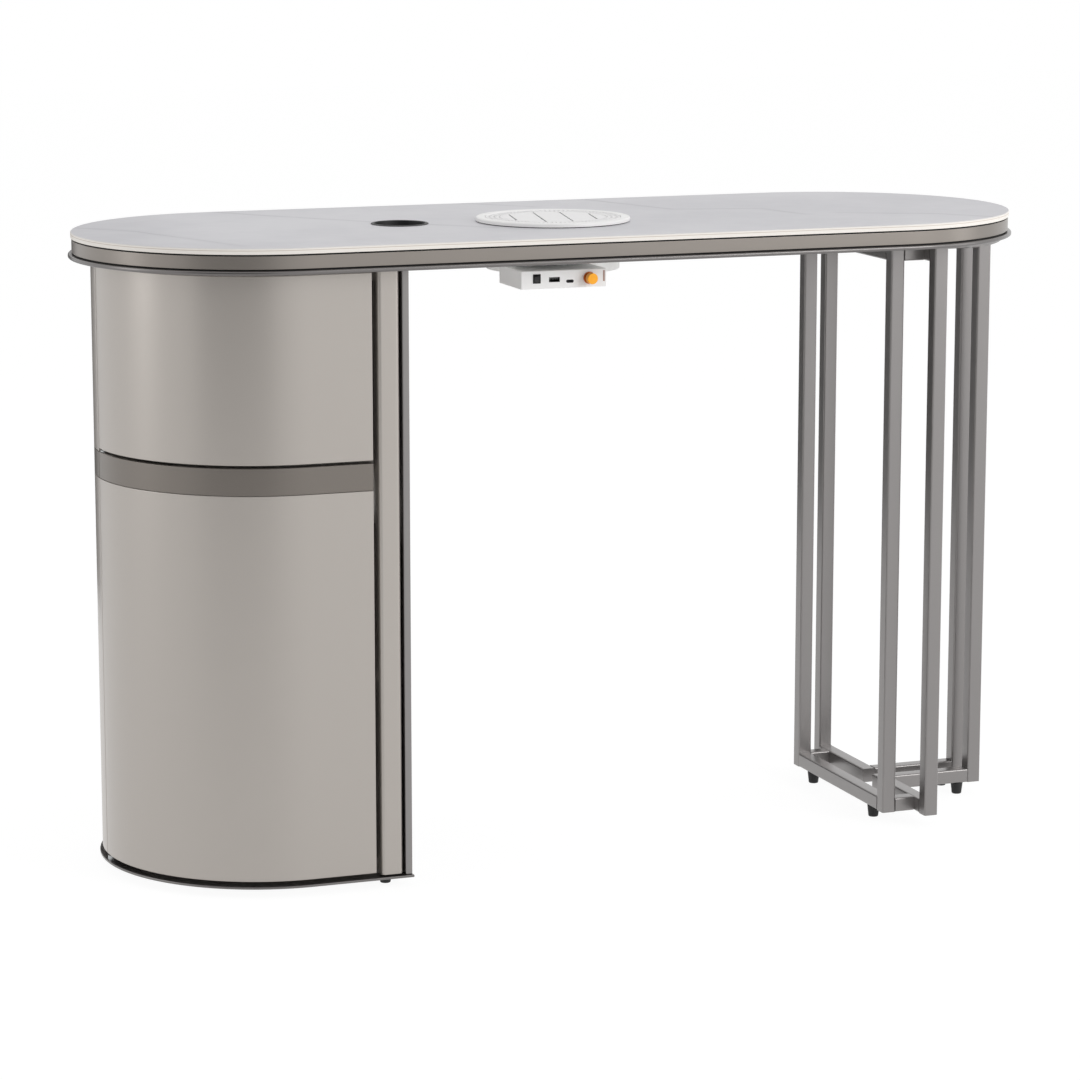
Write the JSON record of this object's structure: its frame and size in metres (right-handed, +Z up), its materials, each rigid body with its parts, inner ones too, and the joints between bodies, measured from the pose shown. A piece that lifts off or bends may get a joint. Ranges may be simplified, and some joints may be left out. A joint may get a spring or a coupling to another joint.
{
  "type": "manicure table with built-in nail dust collector",
  "caption": "Manicure desk with a round-ended stone top, a vented dust extractor set into it, an under-top control box, a curved cabinet with drawer and door, and square tube legs",
  "frame": {"origin": "on the floor, under the middle of the table top", "axes": "+X along the top towards the tube legs, +Y towards the back, away from the controls, +Z up"},
  "size_m": [1.2068, 0.453, 0.7785],
  "materials": {
    "stone": "polished sintered stone, pale grey with faint veins",
    "apron_metal": "satin champagne grey lacquer",
    "rim_metal": "satin champagne grey lacquer",
    "panel_lacquer": "warm grey satin lacquer on bent MDF",
    "board": "melamine faced board",
    "core": "raw board, edges sealed",
    "white_plastic": "smooth moulded ABS",
    "white_grille": "fine matt moulded ABS",
    "black_plastic": "black moulded plastic",
    "grey_plastic": "grey moulded plastic",
    "zinc_steel": "zinc plated sheet and wire",
    "bright_steel": "bright plated",
    "leg_metal": "satin metallic taupe lacquer over tube",
    "knob_gold": "orange gold anodised",
    "filter_cloth": "pleated non-woven",
    "foam": "closed cell foam",
    "foot_rubber": "hard black rubber",
    "pcb": "glass epoxy with solder mask",
    "copper": "enamelled copper winding on laminated core",
    "indicator": "smoked rose tinted"
  },
  "bodies": {
    "table": {"apron_band": "apron_metal", "back_leg_frame": "leg_metal", "back_shell": "panel_lacquer", "base_plate": "rim_metal", "bezel_gasket": "foam", "bottom_board": "board", "cabinet_feet": "foot_rubber", "cabinet_runners": "zinc_steel", "cabinet_shelf": "board", "cable_grommet": "black_plastic", "circuit_board": "pcb", "clamp_ring": "grey_plastic", "collector_tub": "white_plastic", "control_box_bracket": "zinc_steel", "control_box_lid": "white_plastic", "control_box_shell": "white_plastic", "control_face_plate": "white_plastic", "core_board": "core", "divider_board": "board", "door_catch": "white_plastic", "exhaust_guard": "black_plastic", "fan_bearings": "bright_steel", "fan_frame": "black_plastic", "front_leg_frame": "leg_metal", "indicator_lens": "indicator", "inner_leg_frame": "leg_metal", "leg_feet": "foot_rubber", "leg_plates": "leg_metal", "leg_screws": "zinc_steel", "motor_stator": "copper", "pilaster": "panel_lacquer", "pivot_plates": "zinc_steel", "potentiometer": "grey_plastic", "power_inlet": "black_plastic", "rim_plate": "rim_metal", "runner_boards": "board", "shelf_pins": "bright_steel", "shell_band": "apron_metal", "side_panel": "panel_lacquer", "small_screws": "zinc_steel", "stone_top": "stone", "switch_housing": "black_plastic", "top_board": "board", "under_board": "core", "usb_a_port": "bright_steel", "usb_c_port": "bright_steel"},
    "drawer": {"drawer_front": "panel_lacquer", "drawer_box": "board", "drawer_runners": "zinc_steel"},
    "door": {"door_panel": "panel_lacquer", "door_band": "apron_metal", "pivot_pins": "bright_steel", "strike_plate": "zinc_steel"},
    "cassette": {"intake_grille": "white_grille", "filter_frame": "grey_plastic", "filter_media": "filter_cloth"},
    "fan_rotor": {"impeller": "black_plastic", "fan_shaft": "bright_steel"},
    "rocker": {"switch_rocker": "black_plastic"},
    "knob": {"speed_knob": "knob_gold"}
  },
  "joints": [
    {"name": "drawer_slide", "type": "slide", "parent": "table", "child": "drawer", "axis": [0, -1, 0], "range_m": [0, 0.18]},
    {"name": "door_hinge", "type": "hinge", "parent": "table", "child": "door", "pos_m": [-0.5725, -0.0083, 0.017], "axis": [0, 0, -1], "range_deg": [0, 95]},
    {"name": "cassette_lift", "type": "slide", "parent": "table", "child": "cassette", "axis": [0, 0, 1], "range_m": [0, 0.045]},
    {"name": "fan_spin", "type": "hinge", "parent": "table", "child": "fan_rotor", "pos_m": [-0.01, -0.028, 0.745], "axis": [0, 0, 1], "continuous": true},
    {"name": "switch_rock", "type": "hinge", "parent": "table", "child": "rocker", "pos_m": [-0.0912, -0.1895, 0.7222], "axis": [-1, 0, 0], "range_deg": [0, 16]},
    {"name": "knob_turn", "type": "hinge", "parent": "table", "child": "knob", "pos_m": [-0.0255, -0.195, 0.7212], "axis": [0, -1, 0], "range_deg": [0, 280]}
  ]
}
